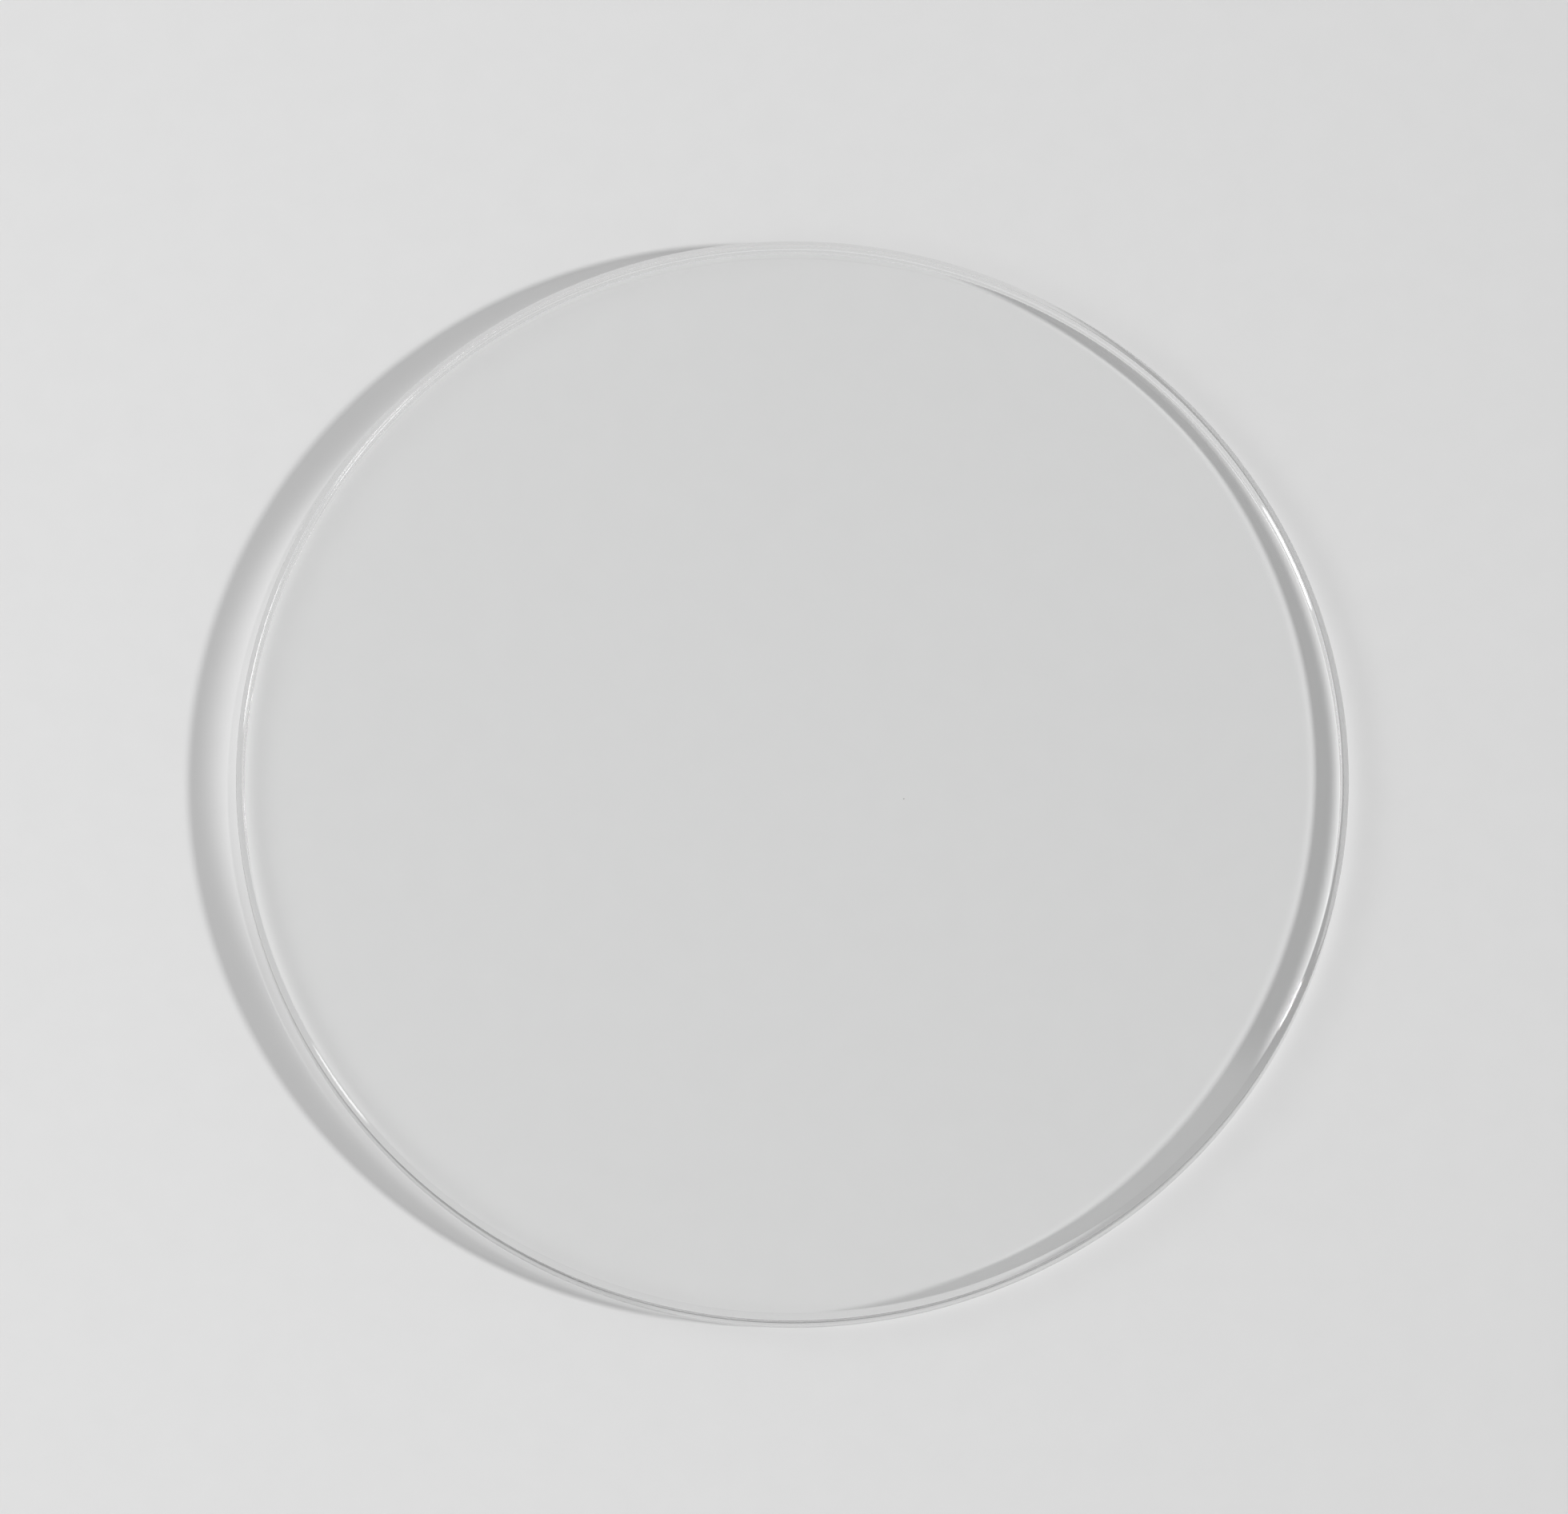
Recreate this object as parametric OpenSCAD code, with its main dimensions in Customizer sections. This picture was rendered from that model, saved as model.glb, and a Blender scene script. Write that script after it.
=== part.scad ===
// Flat round watch crystal: one ground and polished disc of clear sapphire.
// It stands on the centre of its underside, with +Z pointing out of the watch.

/* [Disc] */
// Outside diameter of the girdle, the upright wall that a gasket grips
crystal_d = 35; // [20:0.5:45]
// Thickness from the underside to the top face
crystal_t = 1.5; // [1.2:0.1:4]

/* [Top bevel] */
// Width of the bevel round the top face, seen from above
top_bevel_w = 0.2; // [0.1:0.05:0.4]
// Slope of the top bevel, in degrees from the top face
top_bevel_angle = 45; // [30:5:50]

/* [Underside bevel] */
// Width of the bevel round the underside, seen from below
under_bevel_w = 0.25; // [0.1:0.05:0.4]
// Slope of the underside bevel, in degrees from the underside
under_bevel_angle = 45; // [30:5:50]

/* [Polish] */
// Radius that polishing leaves on each corner of the rim
corner_r = 0.04; // [0.01:0.01:0.06]

/* [Hidden] */

girdle_r = crystal_d / 2;
top_bevel_h = top_bevel_w * tan(top_bevel_angle);
under_bevel_h = under_bevel_w * tan(under_bevel_angle);
// Straight steps that one polished corner is drawn with
corner_steps = 4;
// Facets of the drawn circle
round_fn = 180;

// The corner b of the path a, b, c, rounded to radius r.
function rounded_corner(a, b, c, r) =
    let (
        to_a = (a - b) / norm(a - b),
        to_c = (c - b) / norm(c - b),
        half = acos(to_a * to_c) / 2,
        middle = (to_a + to_c) / norm(to_a + to_c),
        centre = b + middle * r / sin(half),
        turn = 90 - half
    )
    [for (i = [0 : corner_steps])
        let (
            swing = turn * (2 * i / corner_steps - 1),
            across = (to_c - to_a) / norm(to_c - to_a)
        )
        centre - middle * r * cos(swing) + across * r * sin(swing)];

// Half of the section through the crystal, from the axis out to the girdle
module half_section() {
    rim = [
        [0, 0],
        [girdle_r - under_bevel_w, 0],
        [girdle_r, under_bevel_h],
        [girdle_r, crystal_t - top_bevel_h],
        [girdle_r - top_bevel_w, crystal_t],
        [0, crystal_t]
    ];
    last = len(rim) - 1;
    corners = [for (i = [1 : last - 1])
        each rounded_corner(rim[i - 1], rim[i], rim[i + 1], corner_r)];
    polygon(concat([rim[0]], corners, [rim[last]]));
}

// The whole disc, turned from its half section
module crystal() {
    color([0.93, 0.95, 0.96, 0.35])
        rotate_extrude($fn = round_fn)
            half_section();
}

crystal();
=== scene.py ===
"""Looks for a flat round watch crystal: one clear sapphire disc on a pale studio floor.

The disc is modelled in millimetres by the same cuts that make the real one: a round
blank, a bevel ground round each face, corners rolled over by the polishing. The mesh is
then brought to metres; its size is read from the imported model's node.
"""

from __future__ import annotations

import logging
import math
from dataclasses import dataclass, field
from enum import Enum

import bpy
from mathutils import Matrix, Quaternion, Vector

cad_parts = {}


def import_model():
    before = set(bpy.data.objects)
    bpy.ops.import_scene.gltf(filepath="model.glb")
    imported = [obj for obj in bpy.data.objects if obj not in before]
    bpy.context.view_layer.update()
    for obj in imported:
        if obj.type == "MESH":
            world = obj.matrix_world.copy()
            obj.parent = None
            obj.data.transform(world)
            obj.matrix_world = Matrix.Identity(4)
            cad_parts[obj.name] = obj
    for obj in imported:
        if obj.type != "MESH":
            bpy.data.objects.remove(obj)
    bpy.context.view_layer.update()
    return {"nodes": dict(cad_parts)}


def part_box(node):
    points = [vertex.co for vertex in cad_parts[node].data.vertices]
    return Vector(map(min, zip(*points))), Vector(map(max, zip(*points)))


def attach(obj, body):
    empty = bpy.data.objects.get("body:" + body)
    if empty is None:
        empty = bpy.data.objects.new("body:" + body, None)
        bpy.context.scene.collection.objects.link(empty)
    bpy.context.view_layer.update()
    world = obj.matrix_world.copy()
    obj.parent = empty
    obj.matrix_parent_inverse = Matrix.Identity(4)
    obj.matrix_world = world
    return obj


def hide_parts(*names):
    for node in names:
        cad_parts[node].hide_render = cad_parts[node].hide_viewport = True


log = logging.getLogger("watch_crystal")

Socket = bpy.types.NodeSocket

MM = 0.001
PATH_BOUNCES = 40
STRAIGHT_DOWN = -90.0
# Profiles of the bevel operator: a dead flat bevel and a round one
FLAT_PROFILE = 0.25
ROUND_PROFILE = 0.5


class Zone(Enum):
    """The parts of the disc's surface that are finished in their own way."""

    FACE = 0
    GIRDLE = 1


class Lamp(Enum):
    """The shapes of area lamp that the studio uses."""

    ROUND = "DISK"
    PANEL = "RECTANGLE"


class Pick(Enum):
    """The kinds of mesh element that edit mode selects."""

    EDGES = "EDGE"
    FACES = "FACE"


def deselect_all() -> None:
    """Leave object mode with nothing selected."""
    if bpy.context.object is not None and bpy.context.object.mode != "OBJECT":
        bpy.ops.object.mode_set(mode="OBJECT")
    bpy.ops.object.select_all(action="DESELECT")


def activate(obj: bpy.types.Object) -> None:
    """Select one object and make it the active one.

    Args:
        obj: The object that the next operators act on.
    """
    deselect_all()
    obj.select_set(True)
    bpy.context.view_layer.objects.active = obj


def select_for_edit(obj: bpy.types.Object, kind: Pick, wanted: list[bool]) -> None:
    """Select edges or faces of a mesh by a flag each and enter edit mode.

    Args:
        obj: The mesh object.
        kind: Whether the flags are for edges or for faces.
        wanted: One flag for each edge or face.
    """
    activate(obj)
    bpy.ops.object.mode_set(mode="EDIT")
    bpy.ops.mesh.select_mode(type=kind.value)
    bpy.ops.mesh.select_all(action="DESELECT")
    bpy.ops.object.mode_set(mode="OBJECT")
    elements = obj.data.edges if kind is Pick.EDGES else obj.data.polygons
    elements.foreach_set("select", wanted)
    bpy.ops.object.mode_set(mode="EDIT")


class NodeBench:
    """A shorthand for placing and wiring nodes in one node tree."""

    def __init__(self, tree: bpy.types.NodeTree) -> None:
        """Take the tree that nodes go into."""
        self.tree = tree

    def add(self, kind: str, **settings: object) -> bpy.types.Node:
        """Add a node.

        Args:
            kind: The node's type, such as ShaderNodeMath.
            settings: Properties of the node to set.

        Returns:
            The new node.
        """
        node = self.tree.nodes.new(kind)
        for name, value in settings.items():
            setattr(node, name, value)
        return node

    def wire(self, source: object, target: Socket) -> None:
        """Feed a socket from another socket, or give it a plain value.

        Args:
            source: An output socket, or a number, colour or vector.
            target: The input socket.
        """
        if isinstance(source, Socket):
            self.tree.links.new(source, target)
        else:
            target.default_value = source

    def fill(self, node: bpy.types.Node, values: tuple[object, ...]) -> bpy.types.Node:
        """Feed a node's inputs in their order.

        Args:
            node: The node.
            values: What each input gets.

        Returns:
            The same node.
        """
        for value, target in zip(values, node.inputs):
            self.wire(value, target)
        return node

    def math(self, operation: str, *values: object) -> Socket:
        """Place a Math node.

        Args:
            operation: The node's operation, such as MULTIPLY.
            values: Its inputs in order.

        Returns:
            The result.
        """
        return self.fill(self.add("ShaderNodeMath", operation=operation), values).outputs[0]

    def vector(self, operation: str, *values: object) -> bpy.types.Node:
        """Place a Vector Math node.

        Args:
            operation: The node's operation, such as LENGTH.
            values: Its vectors in order.

        Returns:
            The node, which answers with its Vector or its Value.
        """
        return self.fill(self.add("ShaderNodeVectorMath", operation=operation), values)

    def ramp(self, value: object, low: object, high: object, start: object, end: object) -> Socket:
        """Place a Map Range node that eases from one value to another.

        Args:
            value: What is measured.
            low: Where the change begins.
            high: Where the change ends.
            start: The result at low and before it.
            end: The result at high and past it.

        Returns:
            The mapped value.
        """
        node = self.add("ShaderNodeMapRange", interpolation_type="SMOOTHSTEP")
        return self.fill(node, (value, low, high, start, end)).outputs[0]

    def line(self, value: object, low: object, high: object, start: object, end: object) -> Socket:
        """Place a Map Range node that goes evenly from one value to another.

        Args:
            value: What is measured.
            low: Where the change begins.
            high: Where the change ends.
            start: The result at low and before it.
            end: The result at high and past it.

        Returns:
            The mapped value.
        """
        node = self.add("ShaderNodeMapRange", interpolation_type="LINEAR")
        return self.fill(node, (value, low, high, start, end)).outputs[0]

    def step(self, value: object, low: object, high: object) -> Socket:
        """Ease from 0 at low to 1 at high.

        Args:
            value: What is measured.
            low: Where the step begins.
            high: Where it ends.

        Returns:
            A mask from 0 to 1.
        """
        return self.ramp(value, low, high, 0.0, 1.0)

    def blend(self, mask: object, start: object, end: object) -> Socket:
        """Go evenly from one value to another as a mask goes from 0 to 1.

        Args:
            mask: The mask.
            start: The result where the mask is 0.
            end: The result where it's 1.

        Returns:
            The blended value.
        """
        return self.line(mask, 0.0, 1.0, start, end)

    def colours(
        self, mask: Socket, start: tuple[float, float, float], end: tuple[float, float, float]
    ) -> Socket:
        """Mix two plain colours by a mask.

        Args:
            mask: The mask.
            start: The colour where the mask is 0.
            end: The colour where it's 1.

        Returns:
            The mixed colour.
        """
        node = self.add("ShaderNodeMix", data_type="RGBA")
        self.wire(mask, node.inputs["Factor"])
        self.wire((*start, 1.0), node.inputs["A"])
        self.wire((*end, 1.0), node.inputs["B"])
        return node.outputs["Result"]

    def noise(
        self, vector: Socket, per_metre: object, detail: float, roughness: float = 0.5
    ) -> Socket:
        """Place a Noise Texture node.

        Args:
            vector: The place on the surface, in metres.
            per_metre: How many of the largest patches go into a metre.
            detail: The number of finer layers.
            roughness: The share that each finer layer keeps.

        Returns:
            The noise, from 0 to 1.
        """
        node = self.add("ShaderNodeTexNoise")
        self.wire(vector, node.inputs["Vector"])
        self.wire(per_metre, node.inputs["Scale"])
        self.wire(detail, node.inputs["Detail"])
        self.wire(roughness, node.inputs["Roughness"])
        return node.outputs["Fac"]

    def split(self, vector: Socket) -> tuple[Socket, Socket, Socket]:
        """Take a vector apart.

        Args:
            vector: The vector.

        Returns:
            Its X, Y and Z.
        """
        outputs = self.fill(self.add("ShaderNodeSeparateXYZ"), (vector,)).outputs
        return outputs["X"], outputs["Y"], outputs["Z"]

    def level(self, vector: Socket) -> Socket:
        """Bring a vector down to the level plane.

        Args:
            vector: The vector.

        Returns:
            The vector with a Z of 0.
        """
        return self.vector("MULTIPLY", vector, (1.0, 1.0, 0.0)).outputs["Vector"]

    def effect(self, group: bpy.types.NodeTree, vector: Socket) -> bpy.types.Node:
        """Place one of the shared effects.

        Args:
            group: The effect's node group.
            vector: The place on the surface.

        Returns:
            The group's node.
        """
        node = self.add("ShaderNodeGroup", node_tree=group)
        self.wire(vector, node.inputs["Vector"])
        return node


def new_group(
    name: str, values: dict[str, float], masks: tuple[str, ...]
) -> tuple[bpy.types.NodeTree, NodeBench, bpy.types.Node, bpy.types.Node]:
    """Start a shader node group that turns a Vector and some values into masks.

    Args:
        name: The group's name.
        values: The starting value of each input besides Vector, by its name.
        masks: The names of the outputs.

    Returns:
        The group, its bench, and its input and output nodes.
    """
    group = bpy.data.node_groups.new(name, "ShaderNodeTree")
    group.interface.new_socket("Vector", in_out="INPUT", socket_type="NodeSocketVector")
    for label, value in values.items():
        socket = group.interface.new_socket(label, in_out="INPUT", socket_type="NodeSocketFloat")
        socket.default_value = value
    for label in masks:
        group.interface.new_socket(label, in_out="OUTPUT", socket_type="NodeSocketFloat")
    bench = NodeBench(group)
    return group, bench, bench.add("NodeGroupInput"), bench.add("NodeGroupOutput")


@dataclass(frozen=True)
class DustSpecks:
    """Single dust specks, strewn over a surface."""

    per_metre: float = 300.0
    share: float = 0.1
    size: float = 0.02

    def group(self) -> bpy.types.NodeTree:
        """Build the effect's group.

        Returns:
            A group with a Mask that is 1 on a speck and 0 between specks.
        """
        group, bench, given, result = new_group(
            "dust_specks",
            {
                "Specks per metre": self.per_metre,
                "Share with a speck": self.share,
                "Speck size": self.size,
            },
            ("Mask",),
        )
        cells = bench.add("ShaderNodeTexVoronoi", feature="F1")
        bench.wire(given.outputs["Vector"], cells.inputs["Vector"])
        bench.wire(given.outputs["Specks per metre"], cells.inputs["Scale"])
        draw = bench.add("ShaderNodeSeparateColor")
        bench.wire(cells.outputs["Color"], draw.inputs["Color"])
        chosen = bench.math("LESS_THAN", draw.outputs["Red"], given.outputs["Share with a speck"])
        radius = bench.math("MULTIPLY", draw.outputs["Green"], given.outputs["Speck size"])
        inside = bench.math("LESS_THAN", cells.outputs["Distance"], radius)
        bench.wire(bench.math("MULTIPLY", chosen, inside), result.inputs["Mask"])
        return group


@dataclass(frozen=True)
class WipeMarks:
    """What a wiping cloth leaves: a faint haze, and fine hairlines where the haze is.

    A hairline runs wherever a noise, drawn out along the wipe's direction, crosses one
    level. The turn of that direction is in degrees.
    """

    haze_per_metre: float = 120.0
    haze_detail: float = 4.0
    haze_roughness: float = 0.6
    haze_start: float = 0.45
    haze_full: float = 0.75
    hairlines_per_metre: float = 500.0
    hairline_share: float = 0.02
    hairline_detail: float = 2.0
    hairline_turn: float = 34.0
    hairline_draw: float = 0.04
    hairline_level: float = 0.5
    hairline_start: float = 0.5
    hairline_full: float = 0.62

    def group(self) -> bpy.types.NodeTree:
        """Build the effect's group.

        Returns:
            A group with Haze and Hairline, both masks from 0 to 1.
        """
        group, bench, given, result = new_group(
            "wipe_marks",
            {
                "Haze per metre": self.haze_per_metre,
                "Hairlines per metre": self.hairlines_per_metre,
                "Hairline share": self.hairline_share,
            },
            ("Haze", "Hairline"),
        )
        place = given.outputs["Vector"]
        haze_scale = given.outputs["Haze per metre"]
        cloud = bench.noise(place, haze_scale, self.haze_detail, self.haze_roughness)
        haze = bench.step(cloud, self.haze_start, self.haze_full)
        bench.wire(haze, result.inputs["Haze"])
        stretch = bench.add("ShaderNodeMapping", vector_type="POINT")
        bench.wire(place, stretch.inputs["Vector"])
        bench.wire((0.0, 0.0, math.radians(self.hairline_turn)), stretch.inputs["Rotation"])
        bench.wire((1.0, self.hairline_draw, 1.0), stretch.inputs["Scale"])
        strand_scale = given.outputs["Hairlines per metre"]
        strands = bench.noise(stretch.outputs["Vector"], strand_scale, self.hairline_detail)
        offset = bench.math("ABSOLUTE", bench.math("SUBTRACT", strands, self.hairline_level))
        line = bench.math("LESS_THAN", offset, given.outputs["Hairline share"])
        patch = bench.step(cloud, self.hairline_start, self.hairline_full)
        bench.wire(bench.math("MULTIPLY", line, patch), result.inputs["Hairline"])
        return group


@dataclass(frozen=True)
class WheelLines:
    """What a polishing wheel leaves: fine lines drawn out round the rim."""

    per_metre: float = 12000.0
    draw: float = 0.03
    detail: float = 3.0
    start: float = 0.5
    full: float = 0.75

    def group(self) -> bpy.types.NodeTree:
        """Build the effect's group.

        Returns:
            A group with a Line mask from 0 to 1.
        """
        group, bench, given, result = new_group(
            "wheel_lines",
            {"Lines per metre": self.per_metre, "Draw out": self.draw},
            ("Line",),
        )
        place = given.outputs["Vector"]
        east, north, height = bench.split(place)
        turn = bench.math("ARCTAN2", north, east)
        reach = bench.vector("LENGTH", bench.level(place)).outputs["Value"]
        around = bench.math("MULTIPLY", turn, reach)
        drawn = bench.math("MULTIPLY", around, given.outputs["Draw out"])
        unrolled = bench.fill(bench.add("ShaderNodeCombineXYZ"), (drawn, reach, height))
        scale = given.outputs["Lines per metre"]
        lines = bench.noise(unrolled.outputs["Vector"], scale, self.detail)
        bench.wire(bench.step(lines, self.start, self.full), result.inputs["Line"])
        return group


@dataclass(frozen=True)
class SharedEffects:
    """The node groups that the finishes are made with."""

    dust: bpy.types.NodeTree
    wipe: bpy.types.NodeTree
    wheel: bpy.types.NodeTree

    @classmethod
    def build(cls) -> SharedEffects:
        """Build each group once."""
        return cls(DustSpecks().group(), WipeMarks().group(), WheelLines().group())


@dataclass(frozen=True)
class GatheredLight:
    """How one half of the rim passes the light of the lamp that stands on its own side.

    Light that comes in through the wall is trapped between the two faces, so the floor
    under that half stays dark, but for what is gathered close to the lower bevel. Light
    passes the wall from the height shut upwards, all of it from open, and lean lowers
    both towards the north. Heights are in millimetres; south and north are the ends of
    the half along Y.
    """

    glow: float
    glow_start: float
    glow_end: float
    shut: float
    open: float
    face_glow: float = 1.0
    lean: float = 0.0
    south_glow: float = 1.0
    south_rest: float = 0.0
    north_glow: float = 1.0
    face_start: float = 1.48
    face_glow_reach: float = 0.22
    graze_facing: float = 0.43
    graze_end: float = 0.75
    graze_rise: float = 0.4
    south_end: float = -0.58
    south_start: float = -0.44
    north_start: float = 0.6
    north_end: float = 1.0

    def wire(self, bench: NodeBench, height: Socket, north: Socket, facing: Socket) -> Socket:
        """Wire the share of light that comes in here and reaches the floor.

        Args:
            bench: The material's bench.
            height: The height above the underside.
            north: The place along Y, from -1 to 1.
            facing: 0 where the light meets the surface squarely, 1 where it grazes it.

        Returns:
            The share.
        """
        south = bench.ramp(north, self.south_end, self.south_start, self.south_glow, 1.0)
        far_north = bench.ramp(north, self.north_start, self.north_end, 1.0, self.north_glow)
        low = bench.ramp(height, self.glow_start, self.glow_end, self.glow, 0.0)
        gathered = bench.math("MULTIPLY", bench.math("MULTIPLY", low, south), far_north)
        rest = bench.ramp(north, self.south_end, self.south_start, self.south_rest, 0.0)
        graze = bench.ramp(facing, self.graze_facing, self.graze_end, 0.0, self.graze_rise)
        leant = bench.math("ADD", height, bench.math("MULTIPLY", north, self.lean))
        lifted = bench.math("SUBTRACT", leant, graze)
        high = bench.step(lifted, self.shut, self.open)
        over = bench.ramp(lifted, self.open, self.open + self.face_glow_reach, self.face_glow, 1.0)
        passed = bench.math("MULTIPLY", high, over)
        wall = bench.math("MAXIMUM", bench.math("MAXIMUM", gathered, rest), passed)
        on_face = bench.math("GREATER_THAN", height, self.face_start)
        return bench.blend(on_face, wall, 1.0)


@dataclass(frozen=True)
class SpreadLight:
    """How one half of the rim lets out the light of the lamp on the other side.

    That light is spread into the disc's shadow, most of it near the wall and straight
    ahead. Heights are in millimetres.
    """

    rest: float
    ahead_glow: float
    ahead_curve: float
    aside_glow: float
    aside_curve: float
    start: float = 0.02
    end: float = 1.1
    ahead_facing: float = 0.215
    aside_facing: float = 0.335
    bevel_end: float = 0.25
    bevel_facing: float = 0.25
    edge_start: float = 1.27
    edge_end: float = 1.48

    def wire(self, bench: NodeBench, height: Socket, facing: Socket) -> Socket:
        """Wire the share of light that leaves here and reaches the floor.

        Args:
            bench: The material's bench.
            height: The height above the underside.
            facing: 0 where the light meets the surface squarely, 1 where it grazes it.

        Returns:
            The share.
        """
        on_wall = bench.math("GREATER_THAN", height, self.bevel_end)
        turned = bench.math("ADD", facing, bench.blend(on_wall, self.bevel_facing, 0.0))
        aside = bench.step(turned, self.ahead_facing, self.aside_facing)
        curve = bench.blend(aside, self.ahead_curve, self.aside_curve)
        glow = bench.blend(aside, self.ahead_glow, self.aside_glow)
        drop = bench.line(height, 0.0, self.end, 1.0, 0.0)
        fade = bench.math("MULTIPLY", bench.math("POWER", drop, curve), glow)
        far = bench.math("ADD", fade, self.rest)
        edge = bench.step(height, self.edge_start, self.edge_end)
        off_face = bench.math("GREATER_THAN", height, self.start)
        return bench.blend(off_face, 1.0, bench.blend(edge, far, 1.0))


@dataclass(frozen=True)
class RimLight:
    """What the rim's refraction does to lamp light on its way to the floor.

    The right half faces the main lamp and the left half the side lamp. The radius is in
    millimetres, and middle, which is half the width of the passage from one half to the
    other, is a share of it.
    """

    clear: float = 0.965
    radius: float = 17.5
    middle: float = 0.15
    facing_blend: float = 0.5
    right_in: GatheredLight = GatheredLight(
        glow=2.0, glow_start=0.1, glow_end=0.54, shut=0.88, open=0.95,
        face_glow=1.3, lean=0.17, south_glow=0.0, south_rest=0.28, north_glow=0.4,
    )
    left_in: GatheredLight = GatheredLight(
        glow=2.4, glow_start=0.2, glow_end=0.8, shut=0.8, open=1.45
    )
    right_out: SpreadLight = SpreadLight(
        rest=0.45, ahead_glow=2.4, ahead_curve=3.0, aside_glow=2.4, aside_curve=3.0
    )
    left_out: SpreadLight = SpreadLight(
        rest=0.22, ahead_glow=1.3, ahead_curve=0.9, aside_glow=0.8, aside_curve=3.0
    )

    def wire(self, bench: NodeBench, place: Socket) -> Socket:
        """Wire the share of light that passes the surface at each place.

        Args:
            bench: The material's bench.
            place: The object coordinates.

        Returns:
            The share; where the rim gathers light it's above 1.
        """
        x, y, z = bench.split(place)
        height = bench.math("DIVIDE", z, MM)
        east = bench.math("DIVIDE", x, self.radius * MM)
        north = bench.math("DIVIDE", y, self.radius * MM)
        weight = bench.add("ShaderNodeLayerWeight")
        bench.wire(self.facing_blend, weight.inputs["Blend"])
        facing = weight.outputs["Facing"]
        inside = bench.add("ShaderNodeNewGeometry").outputs["Backfacing"]
        half = bench.step(east, -self.middle, self.middle)
        left_in = self.left_in.wire(bench, height, north, facing)
        right_in = self.right_in.wire(bench, height, north, facing)
        left_out = self.left_out.wire(bench, height, facing)
        right_out = self.right_out.wire(bench, height, facing)
        entering = bench.blend(half, left_in, right_in)
        leaving = bench.blend(half, left_out, right_out)
        return bench.math("MULTIPLY", bench.blend(inside, leaving, entering), self.clear)


@dataclass(frozen=True)
class SapphireFinish:
    """Clear synthetic sapphire with one kind of surface."""

    name: str
    zone: Zone
    tint: tuple[float, float, float] = (0.975, 0.978, 0.976)
    speck_tint: tuple[float, float, float] = (0.45, 0.44, 0.42)
    sky_share: tuple[float, float, float] = (0.955, 0.955, 0.955)
    ior: float = 1.77
    base_roughness: float = 0.0
    worn_roughness: float = 0.02
    rim_light: RimLight = RimLight()

    def material(self, effects: SharedEffects) -> bpy.types.Material:
        """Make the Blender material.

        Cycles can't bend lamp light through the disc at a fair cost, so a shadow ray
        goes straight on with the share that the rim light gives it, and a ray that the
        floor sends up to the sky goes straight on with one even share.

        Args:
            effects: The shared node groups.

        Returns:
            The finished material.
        """
        made = bpy.data.materials.new(self.name)
        made.use_nodes = True
        made.node_tree.nodes.clear()
        bench = NodeBench(made.node_tree)
        place = bench.add("ShaderNodeTexCoord").outputs["Object"]
        glass = self.glass(bench, effects, place)
        through = bench.add("ShaderNodeBsdfTransparent")
        bench.wire(self.rim_light.wire(bench, place), through.inputs["Color"])
        even = bench.add("ShaderNodeBsdfTransparent")
        bench.wire((*self.sky_share, 1.0), even.inputs["Color"])
        path = bench.add("ShaderNodeLightPath").outputs
        lamps = bench.fill(
            bench.add("ShaderNodeMixShader"),
            (path["Is Shadow Ray"], glass.outputs["BSDF"], through.outputs["BSDF"]),
        )
        bounced = bench.fill(
            bench.add("ShaderNodeMixShader"),
            (path["Is Diffuse Ray"], lamps.outputs["Shader"], even.outputs["BSDF"]),
        )
        output = bench.add("ShaderNodeOutputMaterial")
        bench.wire(bounced.outputs["Shader"], output.inputs["Surface"])
        return made

    def glass(self, bench: NodeBench, effects: SharedEffects, place: Socket) -> bpy.types.Node:
        """Place the clear shader itself, with its dust and its marks of wear.

        Args:
            bench: The material's bench.
            effects: The shared node groups.
            place: The object coordinates.

        Returns:
            The Principled node.
        """
        glass = bench.add("ShaderNodeBsdfPrincipled")
        glass.inputs["IOR"].default_value = self.ior
        glass.inputs["Transmission Weight"].default_value = 1.0
        glass.inputs["Metallic"].default_value = 0.0
        dust = bench.effect(effects.dust, place).outputs["Mask"]
        bench.wire(bench.colours(dust, self.tint, self.speck_tint), glass.inputs["Base Color"])
        marks = self.marks(bench, effects, place)
        rough = bench.ramp(marks, 0.0, 1.0, self.base_roughness, self.worn_roughness)
        bench.wire(rough, glass.inputs["Roughness"])
        return glass

    def marks(self, bench: NodeBench, effects: SharedEffects, place: Socket) -> Socket:
        """Wire the wear of this zone: wipe marks on a face, wheel lines on the girdle.

        Args:
            bench: The material's bench.
            effects: The shared node groups.
            place: The object coordinates.

        Returns:
            0 where the polish is whole and 1 on a mark.
        """
        if self.zone is Zone.GIRDLE:
            return bench.effect(effects.wheel, place).outputs["Line"]
        wipe = bench.effect(effects.wipe, place).outputs
        return bench.math("MAXIMUM", wipe["Haze"], wipe["Hairline"])


SAPPHIRE_FACE = SapphireFinish("sapphire_face", Zone.FACE)
SAPPHIRE_GIRDLE = SapphireFinish(
    "sapphire_girdle", Zone.GIRDLE, base_roughness=0.04, worn_roughness=0.06
)


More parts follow.
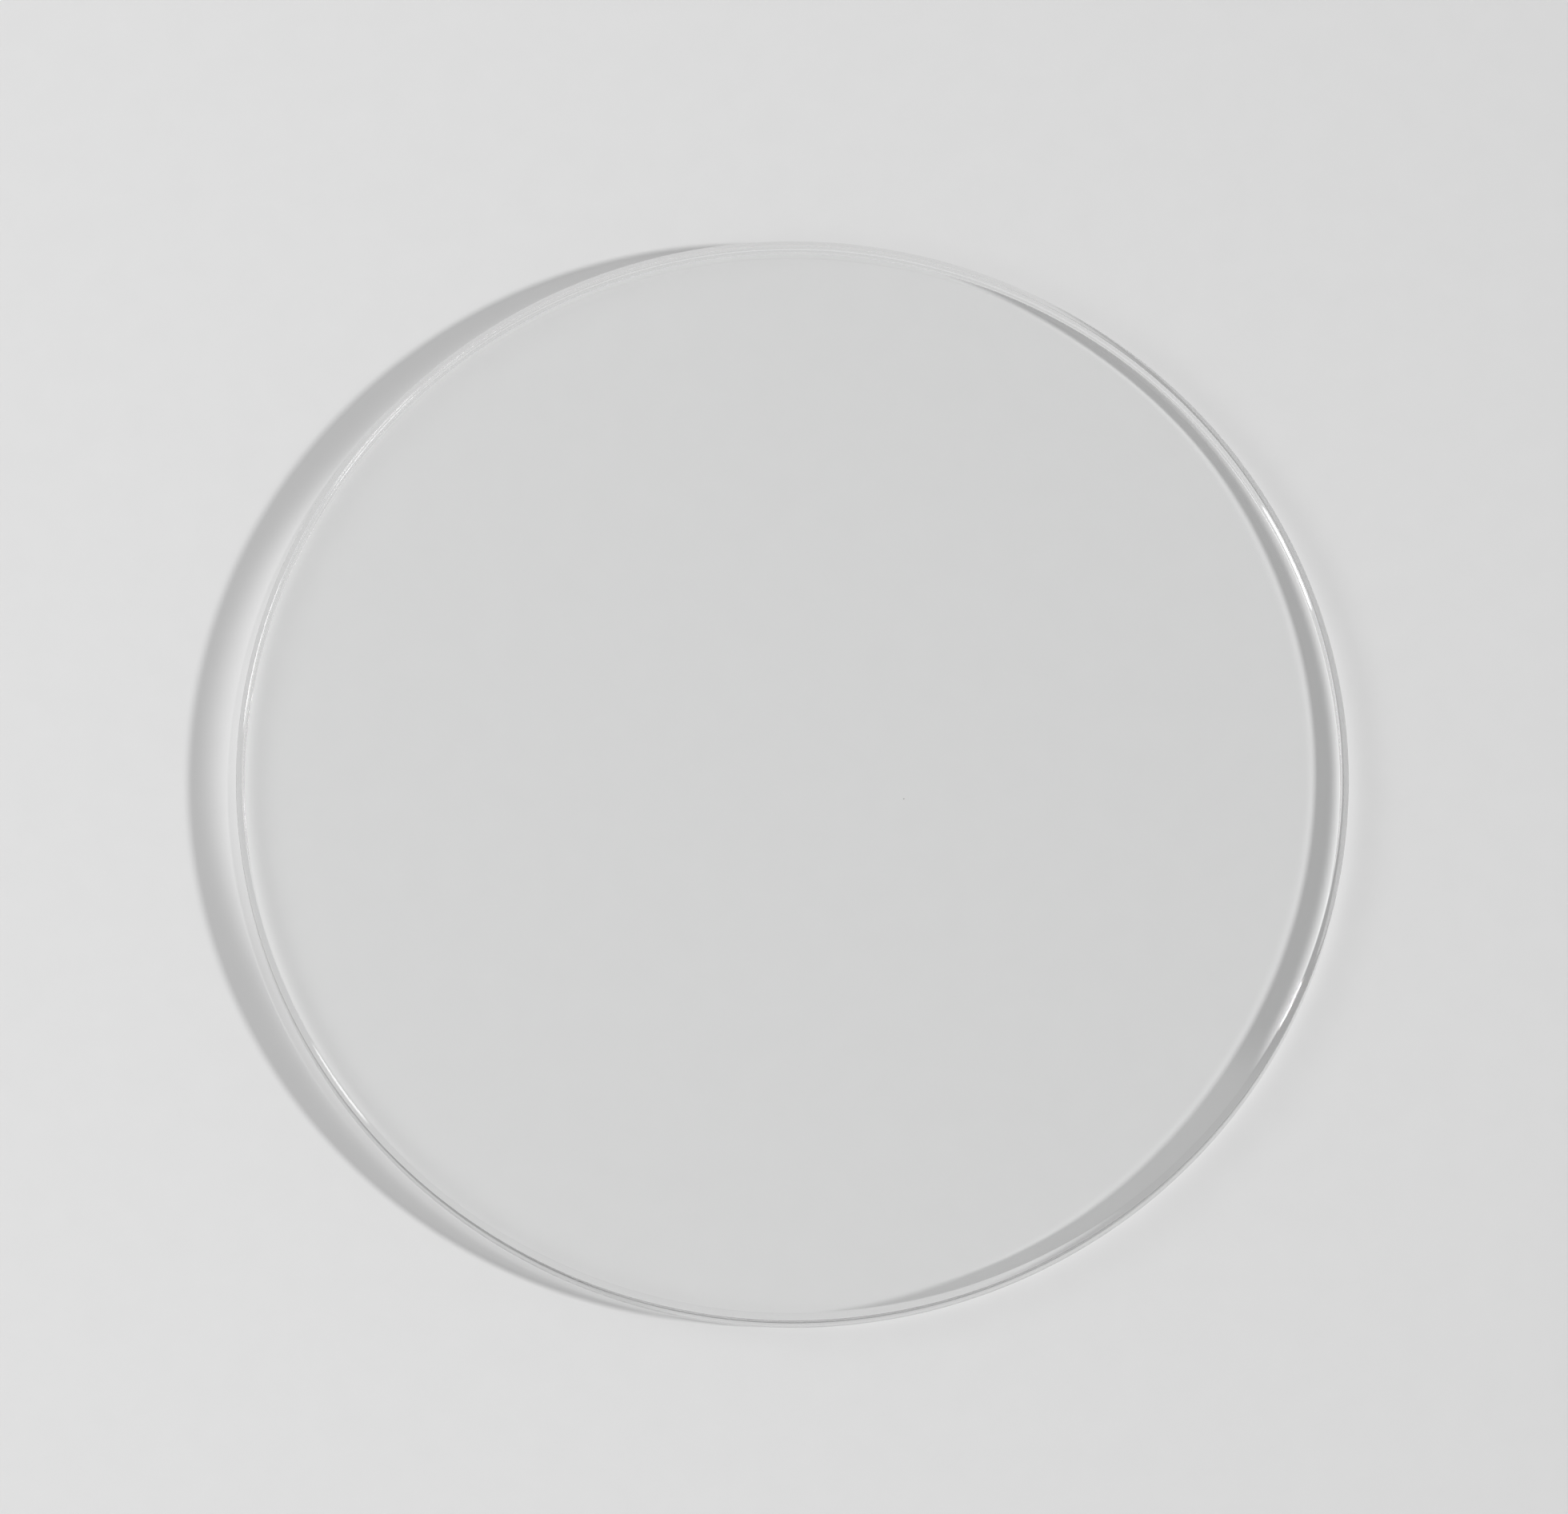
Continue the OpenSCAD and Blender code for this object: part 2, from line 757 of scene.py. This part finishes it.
@dataclass
class SapphireDisc:
    """The crystal itself: blank, bevels, rolled corners, normals and finishes.

    Lengths are in millimetres until the mesh is brought to metres. The top bevel's
    profile is a little rounder than a flat one, because the real bevel is crowned. A
    face is flat where its normal's Z is over flat_tilt, and wall where it is under
    upright_tilt. Heights that differ by less than level_slack count as one.
    """

    node: str = "crystal"
    name: str = "sapphire_crystal"
    top_bevel_w: float = 0.2
    top_bevel_profile: float = 0.27
    top_bevel_steps: int = 8
    under_bevel_w: float = 0.25
    bevel_angle: float = 45.0
    corner_r: float = 0.04
    corner_steps: int = 6
    level_slack: float = 0.004
    segments: int = 1440
    flat_margin: float = 0.02
    flat_tilt: float = 0.999
    upright_tilt: float = 0.05
    normal_weight: int = 100
    radius: float = field(init=False)
    thickness: float = field(init=False)
    piece: bpy.types.Object = field(init=False)

    def __post_init__(self) -> None:
        """Read the disc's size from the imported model's own box."""
        low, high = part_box(self.node)
        self.radius = (high.x - low.x) / 2 / MM
        self.thickness = (high.z - low.z) / MM

    def build(self, effects: SharedEffects) -> bpy.types.Object:
        """Model, finish and place the disc.

        Args:
            effects: The shared node groups.

        Returns:
            The finished piece.
        """
        self.cut_blank()
        self.cut_bevel(
            self.thickness, self.top_bevel_w, self.top_bevel_steps, self.top_bevel_profile
        )
        self.cut_bevel(0.0, self.under_bevel_w)
        self.roll_corners()
        self.ring_faces()
        self.bring_to_metres()
        self.dress(effects)
        self.settle_normals()
        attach(self.piece, "root")
        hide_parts(self.node)
        return self.piece

    def cut_blank(self) -> None:
        """Add the round blank at its size, standing on its underside."""
        deselect_all()
        bpy.ops.mesh.primitive_cylinder_add(
            vertices=self.segments,
            radius=self.radius,
            depth=self.thickness,
            location=(0.0, 0.0, self.thickness / 2),
            end_fill_type="NGON",
        )
        self.piece = bpy.context.object
        self.piece.name = self.name
        self.piece.data.name = self.name
        bpy.ops.object.transform_apply(location=True, rotation=True, scale=True)

    def level_edges(self, height: float) -> list[bool]:
        """Flag the edges that lie level at one height.

        Args:
            height: The height above the underside.

        Returns:
            One flag for each edge.
        """
        points = self.piece.data.vertices
        return [
            all(abs(points[v].co.z - height) < self.level_slack for v in edge.vertices)
            for edge in self.piece.data.edges
        ]

    def cut_bevel(
        self, height: float, width: float, steps: int = 1, profile: float = FLAT_PROFILE
    ) -> None:
        """Grind a bevel of 45 degrees round one face.

        Args:
            height: The height of the face.
            width: The bevel's width, seen from above.
            steps: The number of straight steps across the bevel.
            profile: How round the bevel is, as the bevel operator counts it.
        """
        select_for_edit(self.piece, Pick.EDGES, self.level_edges(height))
        bpy.ops.mesh.bevel(
            offset_type="OFFSET", offset=width, segments=steps, profile=profile, affect="EDGES"
        )
        bpy.ops.object.mode_set(mode="OBJECT")

    def roll_corners(self) -> None:
        """Round the two corners of each bevel, as polishing does."""
        heights = (
            0.0,
            self.under_bevel_w,
            self.thickness - self.top_bevel_w,
            self.thickness,
        )
        flags = [self.level_edges(height) for height in heights]
        select_for_edit(self.piece, Pick.EDGES, [any(row) for row in zip(*flags)])
        bpy.ops.mesh.bevel(
            offset_type="OFFSET",
            offset=self.corner_r * math.tan(math.radians(self.bevel_angle) / 2),
            segments=self.corner_steps,
            profile=ROUND_PROFILE,
            affect="EDGES",
        )
        bpy.ops.object.mode_set(mode="OBJECT")

    def ring_faces(self) -> None:
        """Lay a narrow ring inside each flat face, so that the rest of it shades dead flat."""
        flat = [abs(face.normal.z) > self.flat_tilt for face in self.piece.data.polygons]
        select_for_edit(self.piece, Pick.FACES, flat)
        bpy.ops.mesh.inset(thickness=self.flat_margin, depth=0.0)
        bpy.ops.object.mode_set(mode="OBJECT")

    def bring_to_metres(self) -> None:
        """Shrink the mesh from millimetres to metres, with the object left at the origin."""
        activate(self.piece)
        self.piece.scale = (MM, MM, MM)
        bpy.ops.object.transform_apply(location=True, rotation=True, scale=True)

    def dress(self, effects: SharedEffects) -> None:
        """Give the wall, which is the girdle, its own polish and the rest the faces' one.

        Args:
            effects: The shared node groups.
        """
        mesh = self.piece.data
        mesh.materials.append(SAPPHIRE_FACE.material(effects))
        mesh.materials.append(SAPPHIRE_GIRDLE.material(effects))
        for face in mesh.polygons:
            wall = abs(face.normal.z) < self.upright_tilt
            face.material_index = Zone.GIRDLE.value if wall else Zone.FACE.value

    def settle_normals(self) -> None:
        """Shade the rim smooth and keep the flat faces flat."""
        activate(self.piece)
        bpy.ops.object.shade_smooth()
        weigh = self.piece.modifiers.new("weigh", "WEIGHTED_NORMAL")
        weigh.mode = "FACE_AREA"
        weigh.weight = self.normal_weight
        bpy.ops.object.modifier_apply(modifier=weigh.name)


@dataclass(frozen=True)
class StudioLamp:
    """One soft lamp that faces the disc.

    Directions are in degrees: turn is counted round the disc from +X, down from straight
    overhead, and the spreads are half of the angle that the lamp fills. The share is how
    much of full white paper's brightness the lamp adds to the floor. The distance is in
    metres.
    """

    name: str
    shape: Lamp
    turn: float
    down: float
    spread: float
    spread_down: float
    share: float
    roll: float = 0.0
    distance: float = 1.5

    def hang(self) -> None:
        """Add the lamp to the scene."""
        turn = math.radians(self.turn)
        down = math.radians(self.down)
        flat = math.sin(down)
        way = Vector((math.cos(turn) * flat, math.sin(turn) * flat, math.cos(down)))
        deselect_all()
        bpy.ops.object.light_add(type="AREA", location=way * self.distance)
        lamp = bpy.context.object
        lamp.name = f"{self.name}_lamp"
        lamp.rotation_mode = "QUATERNION"
        facing = (-way).to_track_quat("-Z", "Y")
        lamp.rotation_quaternion = facing @ Quaternion((0, 0, 1), math.radians(self.roll))
        lamp.data.shape = self.shape.value
        lamp.data.size = self.width(self.spread)
        lamp.data.size_y = self.width(self.spread_down)
        # White paper shows full white at an irradiance of pi, and the lamp gives it
        # power * cos(down) / (pi * distance ** 2)
        lamp.data.energy = self.share * (math.pi * self.distance) ** 2 / math.cos(down)

    def width(self, spread: float) -> float:
        """Give the width that fills an angle, seen from the disc.

        Args:
            spread: Half of the angle, in degrees.

        Returns:
            The width in metres.
        """
        return 2 * self.distance * math.tan(math.radians(spread))


@dataclass(frozen=True)
class SkyPatch:
    """A bright patch low in the sky, which stands for one of the room's lights.

    It's seen in the rim only. Turn is counted in degrees round the disc from +X, bottom
    and top are elevations, and soft is half of the width of its edges. A tone of 1 is
    white.
    """

    turn: float
    half_width: float
    top: float
    tone: float
    bottom: float = STRAIGHT_DOWN
    soft: float = 3.0

    def wire(self, bench: NodeBench, compass: Socket, rise: Socket, sky: Socket) -> Socket:
        """Lay the patch over the sky.

        Args:
            bench: The world's bench.
            compass: The direction that is looked in, brought down to the horizon.
            rise: The sine of the elevation that is looked at.
            sky: The sky's brightness without the patch.

        Returns:
            The sky's brightness with the patch.
        """
        turn = math.radians(self.turn)
        middle = (math.cos(turn), math.sin(turn), 0.0)
        along = bench.vector("DOT_PRODUCT", compass, middle).outputs["Value"]
        outer = math.cos(math.radians(self.half_width + self.soft))
        inner = math.cos(math.radians(self.half_width - self.soft))
        across = bench.step(along, outer, inner)
        under_top = bench.ramp(rise, *self.edge(self.top), 1.0, 0.0)
        over_bottom = bench.step(rise, *self.edge(self.bottom))
        upright = bench.math("MULTIPLY", across, under_top)
        return bench.blend(bench.math("MULTIPLY", upright, over_bottom), sky, self.tone)

    def edge(self, elevation: float) -> tuple[float, float]:
        """Give the soft edge at one elevation.

        Args:
            elevation: The middle of the edge, in degrees.

        Returns:
            The sines of the elevations where the edge begins and ends.
        """
        low = math.radians(max(elevation - self.soft, STRAIGHT_DOWN))
        high = math.radians(elevation + self.soft)
        return math.sin(low), math.sin(high)


@dataclass(frozen=True)
class StudioPaper:
    """The floor's finish: matt pale paper with a fine fibre, and painted light that makes it paler
    at the left.

    Painted light raises the tone at the left and lowers it at the right by the given share, over the
    reach, which is in metres.
    """

    name: str = "studio_paper"
    tone: float = 0.735
    variation: float = 0.012
    fibres_per_metre: float = 900.0
    fibre_detail: float = 5.0
    painted_light_drift: float = 0.07
    painted_light_reach: float = 0.031
    roughness: float = 0.9

    def material(self) -> bpy.types.Material:
        """Make the Blender material.

        Returns:
            The finished material.
        """
        paper = bpy.data.materials.new(self.name)
        paper.use_nodes = True
        paper.node_tree.nodes.clear()
        bench = NodeBench(paper.node_tree)
        place = bench.add("ShaderNodeTexCoord").outputs["Object"]
        fibre = bench.noise(place, self.fibres_per_metre, self.fibre_detail)
        dark = self.tone - self.variation
        light = self.tone + self.variation
        shade = bench.colours(fibre, (dark, dark, dark), (light, light, light))
        # Painted light: the tone is raised towards the left and lowered towards the right, for light
        # that falls more brightly on the left.
        east = bench.split(place)[0]
        reach = self.painted_light_reach
        pale = bench.line(east, -reach, reach, 1 + self.painted_light_drift, 1 - self.painted_light_drift)
        painted_light_paper = bench.vector("SCALE", shade)
        bench.wire(pale, painted_light_paper.inputs["Scale"])
        surface = bench.add("ShaderNodeBsdfPrincipled")
        bench.wire(painted_light_paper.outputs["Vector"], surface.inputs["Base Color"])
        surface.inputs["Roughness"].default_value = self.roughness
        surface.inputs["Specular IOR Level"].default_value = 0.0
        output = bench.add("ShaderNodeOutputMaterial")
        bench.wire(surface.outputs["BSDF"], output.inputs["Surface"])
        return paper


@dataclass
class Studio:
    """A pale floor, paler at the left by painted light, a soft sky with a few bright patches low
    down, and two lamps.

    The floor's size is in metres and its gap in millimetres. The four rises are sines of
    elevation: between the first two the sky darkens from its level tone to its middle
    one, and between the last two it brightens again to its overhead tone.
    """

    floor_gap: float = 0.005
    floor_size: float = 6.0
    paper: StudioPaper = StudioPaper()
    sky_level: float = 0.64
    sky_middle: float = 0.26
    sky_overhead: float = 0.66
    level_rise: float = 0.3
    middle_start_rise: float = 0.75
    middle_end_rise: float = 0.88
    overhead_rise: float = 0.96
    lamps: tuple[StudioLamp, ...] = (
        StudioLamp(
            "main", Lamp.ROUND, turn=-9.0, down=49.7, spread=2.7, spread_down=2.7, share=0.41
        ),
        StudioLamp(
            "side", Lamp.PANEL, turn=184.0, down=41.0, spread=29.0, spread_down=8.5, share=0.15,
            roll=12.0,
        ),
    )
    patches: tuple[SkyPatch, ...] = (
        SkyPatch(turn=142.0, half_width=6.0, top=12.0, tone=1.7),
        SkyPatch(turn=153.0, half_width=7.0, top=7.0, tone=6.0, soft=2.0),
        SkyPatch(turn=203.5, half_width=5.0, top=12.0, tone=5.5, bottom=7.5, soft=1.5),
    )

    def build(self) -> None:
        """Set up everything that isn't the object."""
        self.lay_floor()
        self.hang_sky()
        for lamp in self.lamps:
            lamp.hang()

    def lay_floor(self) -> None:
        """Lay the floor a hair below the disc's underside."""
        deselect_all()
        bpy.ops.mesh.primitive_plane_add(
            size=self.floor_size, location=(0.0, 0.0, -self.floor_gap * MM)
        )
        floor = bpy.context.object
        floor.name = "studio_floor"
        floor.data.materials.append(self.paper.material())

    def hang_sky(self) -> None:
        """Make the sky: pale low down and overhead, darker between, with its bright patches."""
        world = bpy.data.worlds.new("studio_sky")
        world.use_nodes = True
        world.node_tree.nodes.clear()
        bpy.context.scene.world = world
        bench = NodeBench(world.node_tree)
        look = bench.add("ShaderNodeTexCoord").outputs["Generated"]
        rise = bench.split(look)[2]
        low = bench.ramp(
            rise, self.level_rise, self.middle_start_rise, self.sky_level, self.sky_middle
        )
        sky = bench.ramp(rise, self.middle_end_rise, self.overhead_rise, low, self.sky_overhead)
        compass = bench.vector("NORMALIZE", bench.level(look)).outputs["Vector"]
        for patch in self.patches:
            sky = patch.wire(bench, compass, rise, sky)
        world.cycles.sampling_method = "NONE"
        background = bench.add("ShaderNodeBackground")
        bench.wire(sky, background.inputs["Color"])
        background.inputs["Strength"].default_value = 1.0
        output = bench.add("ShaderNodeOutputWorld")
        bench.wire(background.outputs["Background"], output.inputs["Surface"])


@dataclass
class ProductCamera:
    """A long lens above the disc, tipped back a little.

    The frame and the disc's middle in it are in pixels, the tilt is in degrees, and the
    lens and its sensor are in millimetres.
    """

    frame_w: int = 1960
    frame_h: int = 1893
    disc_x: float = 990.5
    disc_y: float = 977.0
    pixels_per_mm: float = 39.7
    tilt: float = 14.0
    lens: float = 428.0
    sensor: float = 36.0
    clip_ratio: float = 100.0

    def build(self, aim_height: float) -> None:
        """Place the camera.

        Args:
            aim_height: The height of the disc's middle, in metres.
        """
        focal_pixels = self.lens / self.sensor * self.frame_w
        distance = focal_pixels / self.pixels_per_mm * MM
        tip = math.radians(self.tilt)
        back = Vector((0.0, -math.sin(tip), math.cos(tip)))
        right = Vector((1.0, 0.0, 0.0))
        up = back.cross(right)
        pixel = MM / self.pixels_per_mm
        aim = Vector((0.0, 0.0, aim_height))
        aim -= right * (self.disc_x - self.frame_w / 2) * pixel
        aim += up * (self.disc_y - self.frame_h / 2) * pixel
        deselect_all()
        bpy.ops.object.camera_add(location=aim + back * distance)
        camera = bpy.context.object
        camera.name = "product_camera"
        camera.rotation_mode = "QUATERNION"
        camera.rotation_quaternion = (-back).to_track_quat("-Z", "Y")
        camera.data.lens = self.lens
        camera.data.sensor_width = self.sensor
        camera.data.clip_start = distance / self.clip_ratio
        camera.data.clip_end = distance * self.clip_ratio
        bpy.context.scene.camera = camera


def allow_long_paths(bounces: int) -> None:
    """Let light bounce often enough inside the rim, where it's caught between two faces.

    Args:
        bounces: The most surfaces that one path may meet.
    """
    cycles = bpy.context.scene.cycles
    cycles.max_bounces = bounces
    cycles.transmission_bounces = bounces
    cycles.glossy_bounces = bounces
    cycles.transparent_max_bounces = bounces


def main() -> None:
    """Build the disc and the studio, and report each piece."""
    logging.basicConfig(level=logging.INFO, format="%(name)s: %(message)s")
    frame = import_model()
    bpy.context.scene.view_settings.view_transform = "Standard"
    allow_long_paths(PATH_BOUNCES)
    effects = SharedEffects.build()
    disc = SapphireDisc()
    piece = disc.build(effects)
    faces = len(piece.data.polygons)
    log.info("%s: %d faces, for node %s of %s", piece.name, faces, disc.node, sorted(frame["nodes"]))
    Studio().build()
    ProductCamera().build(disc.thickness * MM / 2)


if __name__ == "__main__":
    main()
